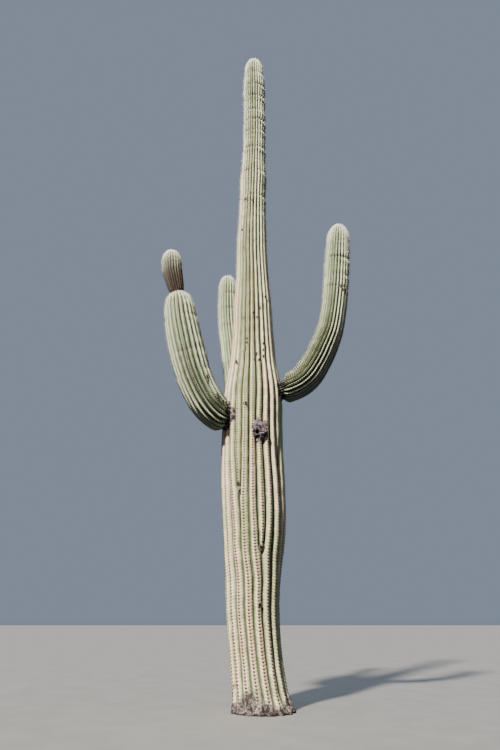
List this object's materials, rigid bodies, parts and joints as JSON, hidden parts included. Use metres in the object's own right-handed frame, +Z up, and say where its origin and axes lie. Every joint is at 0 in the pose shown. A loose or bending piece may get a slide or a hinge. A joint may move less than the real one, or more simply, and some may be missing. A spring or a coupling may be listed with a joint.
{
  "type": "saguaro cactus",
  "caption": "Tall ribbed saguaro cactus column with upturned arms, a short regrown head on one arm and an old scar, rooted in the ground.",
  "frame": {"origin": "middle of the flat cut under the trunk, at ground level", "axes": "+Z up along the trunk; the picture's viewer stands on the -Y side with +X to their right"},
  "size_m": [2.035, 1.2106, 7.6],
  "materials": {
    "trunk_skin": "waxy pale tan to grey-green skin over pleated ribs, matte, tan and woody near the ground",
    "arm_skin": "waxy grey-green skin over pleated ribs, matte",
    "head_skin": "waxy green skin, brown and corky at the neck, densely spined",
    "scar_cork": "rough dark grey-brown scar cork",
    "areole_felt": "dark grey-brown felt pads in rows along the ribs",
    "spines": "stiff pale straw to grey spines, satin"
  },
  "bodies": {
    "root": {"trunk": "trunk_skin", "left_arm_lower": "arm_skin", "left_arm_upper": "arm_skin", "left_arm_head": "head_skin", "right_arm_lower": "arm_skin", "right_arm_upper": "arm_skin", "rear_arm_lower": "arm_skin", "rear_arm_upper": "arm_skin", "trunk_scar": "scar_cork"}
  },
  "joints": []
}
